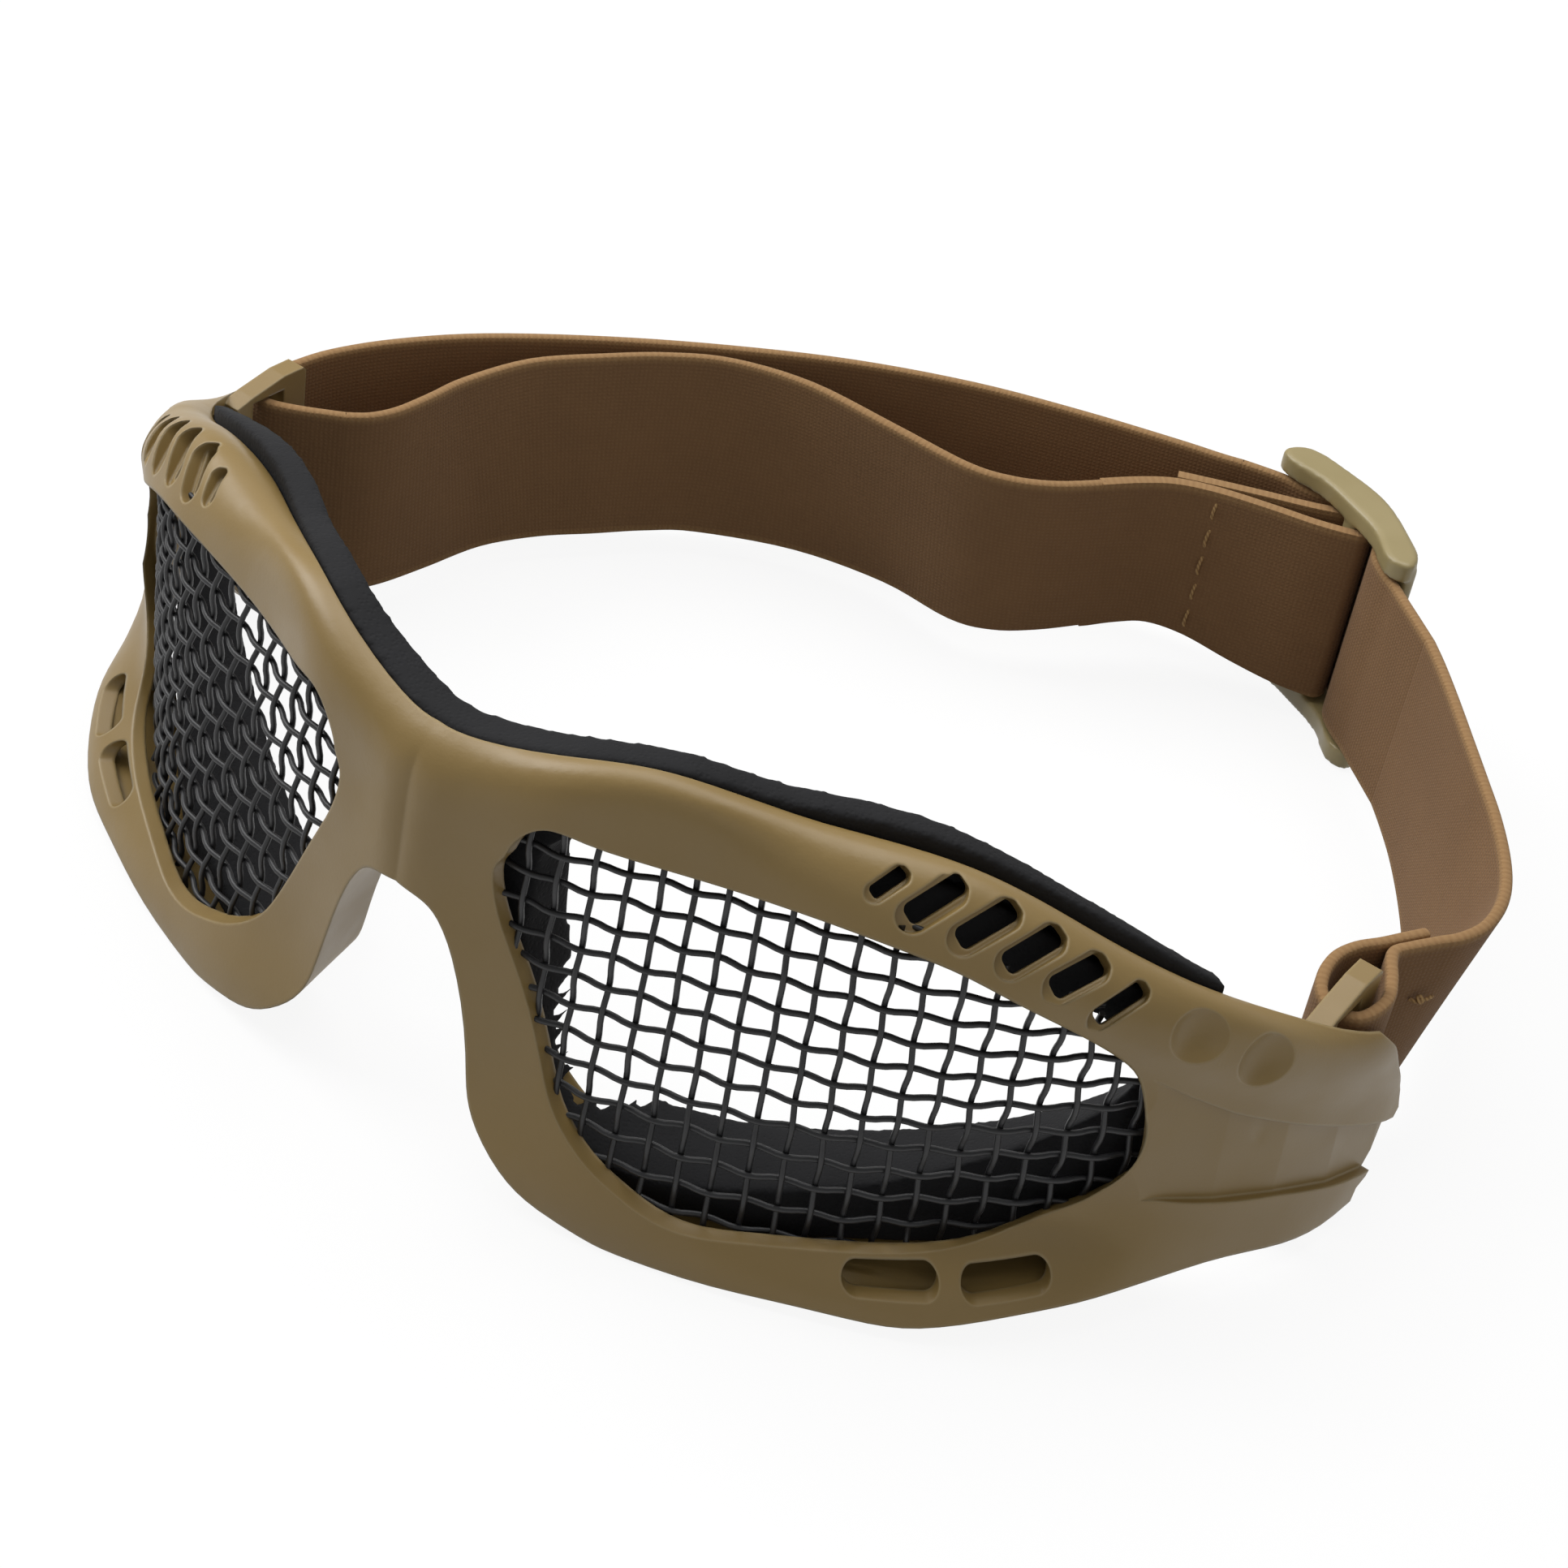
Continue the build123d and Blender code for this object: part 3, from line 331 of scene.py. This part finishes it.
# Powder coat: near black, half matt, with a faint orange peel
black, tree, shader = finish("powder_coated_wire")
coords = add(tree, "ShaderNodeTexCoord")
peel = add(tree, "ShaderNodeTexNoise", {"Vector": coords.outputs["Object"], "Scale": 3000.0, "Detail": 2.0})
dust = add(tree, "ShaderNodeTexNoise", {"Vector": coords.outputs["Object"], "Scale": 300.0, "Detail": 2.0})
tone = add(tree, "ShaderNodeMix", {0: dust.outputs[0], 6: linear("#161617"), 7: linear("#232325")},
           data_type="RGBA")
bump = add(tree, "ShaderNodeBump", {"Height": peel.outputs[0], "Strength": 0.4, "Distance": 0.05 * mm})
tree.links.new(tone.outputs[2], shader.inputs["Base Color"])
tree.links.new(bump.outputs[0], shader.inputs["Normal"])
shader.inputs["Roughness"].default_value = 0.46
wires = wires_of()
for side, node in ((1, "right_mesh_lens"), (-1, "left_mesh_lens")):
    lines = [[(side * p.x, p.y, p.z) for p in points] for points in wires]
    woven = tubes(node.replace("mesh_lens", "woven_wire"), lines, wire, 4)
    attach(woven, "goggles")
    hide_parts(node)
    dress(woven, black)


# Gasket: a strip of dense black foam glued inside the frame's edge, standing
# proud of it behind the brow and under the nose. Its cut corners are rounded.
pad_mesh = bmesh.new()
pad_mesh.from_mesh(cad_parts["foam_gasket"].data)
bmesh.ops.remove_doubles(pad_mesh, verts=pad_mesh.verts, dist=0.002 * mm)
pad = show(pad_mesh, "foam_pad")
skin = pad.modifiers.new("skin", "REMESH")
skin.mode = "VOXEL"
skin.voxel_size = 0.55 * mm
skin.use_smooth_shade = True
ease = pad.modifiers.new("ease", "SMOOTH")
ease.factor = 0.5
ease.iterations = 7
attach(pad, "goggles")
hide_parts("foam_gasket")

# Closed-cell foam: matt charcoal, fine pores half a millimetre across
charcoal, tree, shader = finish("closed_cell_foam")
coords = add(tree, "ShaderNodeTexCoord")
pores = add(tree, "ShaderNodeTexVoronoi", {"Vector": coords.outputs["Object"], "Scale": 1700.0})
cloud = add(tree, "ShaderNodeTexNoise", {"Vector": coords.outputs["Object"], "Scale": 160.0, "Detail": 4.0})
tone = add(tree, "ShaderNodeMix", {0: cloud.outputs[0], 6: linear("#1B1B1C"), 7: linear("#262628")},
           data_type="RGBA")
deep = add(tree, "ShaderNodeMapRange", {0: pores.outputs[0], 1: 0.0, 2: 0.5, 3: 0.0, 4: 1.0})
bump = add(tree, "ShaderNodeBump", {"Height": deep.outputs[0], "Strength": 0.5, "Distance": 0.12 * mm})
tree.links.new(tone.outputs[2], shader.inputs["Base Color"])
tree.links.new(bump.outputs[0], shader.inputs["Normal"])
shader.inputs["Roughness"].default_value = 0.88
shader.inputs["Specular IOR Level"].default_value = 0.25
dress(pad, charcoal)


# Strap: flat elastic webbing, knitted round rubber threads with a beaded edge,
# standing on edge. One length runs from the right bar through the slider and
# round the left bar, and comes back inside to the slider's middle bar.
strap_low = 3.2
strap_width = 27.5
strap_thick = 1.5
strap_round = 0.55
seam_lap = 0.6
route_parts = 5


def smooth_line(points, parts):
    """Finer points along the smooth line through a route's points."""
    made = []
    ends = [points[0]] + list(points) + [points[-1]]
    for before, a, b, after in zip(ends, ends[1:], ends[2:], ends[3:]):
        for n in range(parts):
            t = n / parts
            made.append(tuple(
                0.5 * (2 * q + (r - p) * t + (2 * p - 5 * q + 4 * r - s) * t * t
                       + (3 * q - p - 3 * r + s) * t ** 3)
                for p, q, r, s in zip(before, a, b, after)))
    return made + [tuple(points[-1])]


def webbing(name, low, high, node, body=None):
    """A run of webbing along a route at its lower edge and one at its upper edge;
    a third value in the lower route lifts the edge there, where the webbing narrows."""
    low = smooth_line([tuple(p) + (0.0,) * (3 - len(p)) for p in low], route_parts)
    high = smooth_line(high, route_parts)
    for line in (low, high):
        for end, beside in ((0, 1), (-1, -2)):
            step = Vector(line[end][:2]) - Vector(line[beside][:2])
            step *= seam_lap / step.length
            line[end] = (line[end][0] + step.x, line[end][1] + step.y) + line[end][2:]
    heights = [0.0, 0.03, 0.12, 0.25, 0.38, 0.5, 0.62, 0.75, 0.88, 0.97, 1.0]
    band = bmesh.new()
    along = band.verts.layers.float.new("along")
    weave = band.loops.layers.uv.new("weave")

    def place(n, share):
        x = low[n][0] + (high[n][0] - low[n][0]) * share
        y = low[n][1] + (high[n][1] - low[n][1]) * share
        return Vector((x, y, strap_low + low[n][2] + (strap_width - low[n][2]) * share)) * mm

    column = [band.verts.new(place(0, share)) for share in heights]
    edges = [band.edges.new(pair) for pair in zip(column, column[1:])]
    travelled = 0.0
    for n in range(1, len(low)):
        travelled += (place(n, 0.5) - place(n - 1, 0.5)).length
        grown = bmesh.ops.extrude_edge_only(band, edges=edges)["geom"]
        column = sorted((v for v in grown if isinstance(v, bmesh.types.BMVert)), key=lambda v: v.co.z)
        edges = [e for e in grown if isinstance(e, bmesh.types.BMEdge)]
        for vert, share in zip(column, heights):
            vert.co = place(n, share)
            vert[along] = travelled
    for face in band.faces:
        for loop in face.loops:
            loop[weave].uv = (loop.vert[along], loop.vert.co.z)
    made = show(band, name)
    thick = made.modifiers.new("thick", "SOLIDIFY")
    thick.thickness = strap_thick * mm
    thick.offset = 0
    thick.use_even_offset = True
    edge = made.modifiers.new("edge", "BEVEL")
    edge.width = strap_round * mm
    edge.segments = 3
    edge.limit_method = "ANGLE"
    edge.angle_limit = math.radians(60)
    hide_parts(node)
    if body:
        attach(made, body)
    return made


# Elastic webbing: dull brown polyester, fine cross ribs 0.6 mm apart over
# lengthwise threads, so faint that it looks smooth, and a rounded beaded edge painted paler, a painted
# highlight along it.
# A wave of the scale once_a_mm repeats once in a millimetre.
once_a_mm = 314.2
brown, tree, shader = finish("knitted_elastic_webbing")
weave = add(tree, "ShaderNodeUVMap", uv_map="weave")
split = add(tree, "ShaderNodeSeparateXYZ", {0: weave.outputs[0]})
cloud = add(tree, "ShaderNodeTexNoise", {"Vector": weave.outputs[0], "Scale": 120.0, "Detail": 4.0})
fuzz = add(tree, "ShaderNodeTexNoise", {"Vector": weave.outputs[0], "Scale": 2600.0, "Detail": 3.0})
ribs = add(tree, "ShaderNodeTexWave", {"Vector": weave.outputs[0], "Scale": once_a_mm / 0.6, "Distortion": 1.6,
                                       "Detail": 2.0, "Detail Scale": 1.5}, bands_direction="X")
threads = add(tree, "ShaderNodeTexWave", {"Vector": weave.outputs[0], "Scale": once_a_mm / 0.55,
                                          "Distortion": 0.6, "Detail": 1.0}, bands_direction="Y")
cloth = add(tree, "ShaderNodeMath", {0: ribs.outputs[1], 1: threads.outputs[1]}, operation="MULTIPLY")
relief = add(tree, "ShaderNodeMath", {0: cloth.outputs[0], 1: fuzz.outputs[0]}, operation="ADD")
tone = add(tree, "ShaderNodeMix", {0: cloud.outputs[0], 6: linear("#77583B"), 7: linear("#846342")},
           data_type="RGBA")
shade = add(tree, "ShaderNodeMapRange", {0: relief.outputs[0], 1: 0.3, 2: 1.3, 3: 0.0, 4: 0.35})
lit = add(tree, "ShaderNodeMix", {0: shade.outputs[0], 6: tone.outputs[2], 7: linear("#8F6F4A")},
          data_type="RGBA")
centre = add(tree, "ShaderNodeMath", {0: split.outputs[1], 1: (strap_low + strap_width / 2) * mm},
             operation="SUBTRACT")
spread = add(tree, "ShaderNodeMath", {0: centre.outputs[0]}, operation="ABSOLUTE")
# both edges painted paler: a painted highlight along the rounded edge, beaded by the picot wave
rim_highlight_mask = add(tree, "ShaderNodeMapRange", {0: spread.outputs[0], 1: (strap_width / 2 - 1.3) * mm,
                                       2: (strap_width / 2 - 0.5) * mm, 3: 0.0, 4: 0.6})
picots = add(tree, "ShaderNodeTexWave", {"Vector": weave.outputs[0], "Scale": once_a_mm / 0.9,
                                         "Distortion": 2.0, "Detail": 2.0}, bands_direction="X")
beaded_edge_highlight = add(tree, "ShaderNodeMix", {0: picots.outputs[1], 6: linear("#9A784F"), 7: linear("#A68459")},
           data_type="RGBA")
colour = add(tree, "ShaderNodeMix", {0: rim_highlight_mask.outputs[0], 6: lit.outputs[2], 7: beaded_edge_highlight.outputs[2]},
             data_type="RGBA")
bump = add(tree, "ShaderNodeBump", {"Height": relief.outputs[0], "Strength": 0.4, "Distance": 0.15 * mm})
tree.links.new(colour.outputs[2], shader.inputs["Base Color"])
tree.links.new(bump.outputs[0], shader.inputs["Normal"])
shader.inputs["Roughness"].default_value = 0.88
shader.inputs["Sheen Weight"].default_value = 0.06
shader.inputs["Specular IOR Level"].default_value = 0.25
shader.inputs["Sheen Roughness"].default_value = 0.5

right_low = (
    (80.6, 2.0), (80.4, -0.6), (79.7, -3.2), (77.9, -6.0), (77.0, -9.2), (77.3, -12.6), (78.5, -15.6),
    (80.3, -17.3), (82.2, -17.6), (83.9, -16.6), (84.7, -14.2), (84.7, -11.2), (83.4, -8.0),
    (82.0, -5.5), (81.4, -3.5), (82.0, -1.2), (82.3, 2.1), (82.2, 5.3), (81.8, 9.3), (80.9, 13.3),
    (79.5, 17.5), (77.5, 22.3), (74.5, 28.1), (71.0, 34.2), (66.8, 40.8), (62.3, 47.1), (58.2, 52.1),
    (55.0, 55.7))
right_high = (
    (82.4, 1.9), (81.0, -0.6), (79.6, -3.2), (77.9, -6.0), (77.0, -9.2), (77.3, -12.6), (78.5, -15.6),
    (80.3, -17.3), (82.2, -17.6), (83.9, -16.6), (84.7, -14.2), (84.7, -11.2), (83.4, -8.0),
    (82.0, -5.5), (81.4, -3.5), (82.5, -1.2), (84.2, 1.7), (86.0, 4.7), (87.0, 8.6), (86.6, 13.3),
    (85.1, 17.7), (82.3, 22.7), (78.2, 28.5), (73.6, 34.1), (68.6, 40.1), (63.0, 46.8), (58.4, 52.1),
    (55.0, 55.7))
right_run = webbing("webbing_right_run", right_low, right_high, "strap_right_run", "strap")
near_pass = ((55.0, 55.7), (51.1, 59.0), (48.0, 61.6), (45.7, 63.6), (42.9, 65.7), (40.5, 68.1),
             (39.2, 71.0), (38.3, 73.7))
pass_near = webbing("webbing_pass_near", near_pass, near_pass, "strap_slider_pass")
far_pass = ((38.3, 73.7), (36.3, 75.9), (33.3, 76.9), (29.8, 76.6), (25.7, 76.0), (22.0, 75.9),
            (18.5, 75.2), (15.7, 74.5))
pass_far = webbing("webbing_pass_far", far_pass, far_pass, "strap_slider_pass")
outer = (
    (15.7, 74.5), (12.5, 73.4), (6.4, 71.7), (-7.0, 67.3), (-21.2, 61.5), (-36.0, 52.8), (-49.6, 42.0),
    (-62.0, 30.3), (-73.3, 17.5), (-80.0, 6.8), (-83.6, -1.9), (-84.7, -8.2), (-84.7, -11.2),
    (-84.7, -14.2), (-83.9, -16.6), (-82.2, -17.6), (-80.0, -17.6), (-77.4, -16.4), (-74.6, -14.6),
    (-71.4, -12.3))
outer_run = webbing("webbing_outer_run", outer, outer, "strap_outer_run", "strap")
inner_low = (
    (-71.4, -12.3), (-69.3, -9.8), (-68.0, -6.0), (-66.8, 0.8), (-65.3, 10.3), (-61.6, 18.3),
    (-57.0, 24.8), (-52.5, 31.3), (-47.4, 36.8), (-35.0, 44.3), (-21.4, 47.8), (-9.5, 47.0, 0.4),
    (-3.5, 48.6, 1.0), (1.3, 52.4, 1.8), (5.5, 57.6, 2.5))
inner_high = (
    (-71.4, -12.3), (-69.3, -9.8), (-68.0, -6.0), (-67.6, -0.2), (-67.4, 6.8), (-65.0, 17.3),
    (-59.4, 26.4), (-53.8, 33.8), (-47.0, 39.6), (-36.2, 43.1), (-22.0, 43.1), (-9.7, 43.0),
    (-3.5, 45.0), (1.3, 48.8), (5.5, 54.4))
inner_run = webbing("webbing_inner_run", inner_low, inner_high, "strap_inner_run")
loop_low = (
    (5.5, 57.6, 2.5), (8.6, 61.2, 3.2), (12.2, 63.8, 3.9), (17.5, 65.7, 3.6), (24.5, 67.3, 2.2),
    (30.8, 68.8, 1.2), (35.5, 70.6, 0.6), (36.5, 71.4, 0.5), (36.6, 72.9, 0.5), (35.4, 74.4, 0.5),
    (33.9, 74.9, 0.6), (32.9, 74.8, 0.8), (28.0, 72.1, 2.0), (22.5, 69.7, 3.0), (16.6, 67.4, 3.8),
    (11.8, 65.7, 3.9))
loop_high = (
    (5.5, 54.4), (8.6, 58.7), (12.2, 62.4), (17.5, 65.1), (24.5, 67.2), (30.8, 68.8), (35.5, 70.6),
    (36.5, 71.4), (36.6, 72.9), (35.4, 74.4), (33.9, 74.9), (32.9, 74.8), (28.0, 72.1), (22.5, 69.6),
    (16.6, 66.8), (11.8, 64.4))
end_loop = webbing("webbing_end_loop", loop_low, loop_high, "slider_end_loop", "slider")
for band in (right_run, pass_near, pass_far, outer_run, inner_run, end_loop):
    dress(band, brown)
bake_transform(pass_near)
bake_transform(pass_far)
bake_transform(inner_run)


# Slider: a three-bar buckle moulded in a paler tan plastic, its two long rails
# rounded over and joined by bars that the webbing passes behind and around.
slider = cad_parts["slider"]
skin = slider.modifiers.new("skin", "REMESH")
skin.mode = "VOXEL"
skin.voxel_size = 0.35 * mm
skin.use_smooth_shade = True
ease = slider.modifiers.new("ease", "SMOOTH")
ease.factor = 0.5
ease.iterations = 6

# Acetal, moulded: smoother than the frame, with a waxy gloss
cream, tree, shader = finish("acetal_moulded")
coords = add(tree, "ShaderNodeTexCoord")
cloud = add(tree, "ShaderNodeTexNoise", {"Vector": coords.outputs["Object"], "Scale": 90.0, "Detail": 3.0})
tone = add(tree, "ShaderNodeMix", {0: cloud.outputs[0], 6: linear("#8F8055"), 7: linear("#9F9067")},
           data_type="RGBA")
grain = add(tree, "ShaderNodeTexNoise", {"Vector": coords.outputs["Object"], "Scale": 2200.0})
bump = add(tree, "ShaderNodeBump", {"Height": grain.outputs[0], "Strength": 0.15, "Distance": 0.05 * mm})
tree.links.new(tone.outputs[2], shader.inputs["Base Color"])
tree.links.new(bump.outputs[0], shader.inputs["Normal"])
shader.inputs["Roughness"].default_value = 0.38
dress(slider, cream)


# Sewing: a row of stitches that closes the webbing's loop on the middle bar, and
# the knotted thread end that shows on the outside of the right loop.
def thread(name, lines, thick, node, body):
    """Lengths of sewing thread through short lists of points, in millimetres."""
    made = tubes(name, lines, thick, 12)
    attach(made, body)
    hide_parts(node)
    return made


# Polyester thread: two plies, so a fine slanting twist, paler than the webbing
yarn, tree, shader = finish("polyester_sewing_thread")
coords = add(tree, "ShaderNodeTexCoord")
twist = add(tree, "ShaderNodeTexWave", {"Vector": coords.outputs["Object"], "Scale": once_a_mm / 0.4,
                                        "Distortion": 1.0}, bands_direction="DIAGONAL")
tone = add(tree, "ShaderNodeMix", {0: twist.outputs[1], 6: linear("#8E6D45"), 7: linear("#BB9763")},
           data_type="RGBA")
bump = add(tree, "ShaderNodeBump", {"Height": twist.outputs[1], "Strength": 0.6, "Distance": 0.1 * mm})
tree.links.new(tone.outputs[2], shader.inputs["Base Color"])
tree.links.new(bump.outputs[0], shader.inputs["Normal"])
shader.inputs["Roughness"].default_value = 0.8

# Each stitch comes out of the webbing and goes back in; the two low ones lie
# further back, as the webbing does there
stitch = ((0.0, 0.7, -1.6), (-0.1, 0.1, -1.2), (0.0, -0.1, 0.0), (0.1, 0.1, 1.2), (0.0, 0.7, 1.6))
stitch_thick = 0.5
stitch_count = 5
stitch_pitch = 4.5
stitch_x = 17.6
stitch_y = 64.35
stitch_middle = strap_low + strap_width / 2 + 1.7
low_count = 2
low_setback = 0.3
stitch_lines = []
for n in range(stitch_count):
    y = stitch_y + (low_setback if n < low_count else 0.0)
    z = stitch_middle + (n - stitch_count // 2) * stitch_pitch
    stitch_lines.append([(stitch_x + a, y + b, z + c) for a, b, c in stitch])
stitches = thread("loop_stitches", stitch_lines, stitch_thick, "slider_stitches", "slider")
dress(stitches, yarn)
knot_thick = 0.45
knot = thread("thread_knot", [
    [(83.8, -0.2, 22.5), (84.5, 0.0, 22.3), (85.0, 0.4, 22.7), (84.8, 0.6, 23.1), (84.5, 0.2, 23.0),
     (84.9, 0.0, 22.5), (85.2, 0.5, 22.4), (84.8, 0.8, 22.6), (84.4, 0.5, 22.9)],
    [(84.9, 0.7, 22.6), (85.3, 1.1, 22.5), (85.5, 1.7, 22.7), (85.6, 2.1, 22.6)]],
    knot_thick, "anchor_knot", "strap")
dress(knot, yarn)
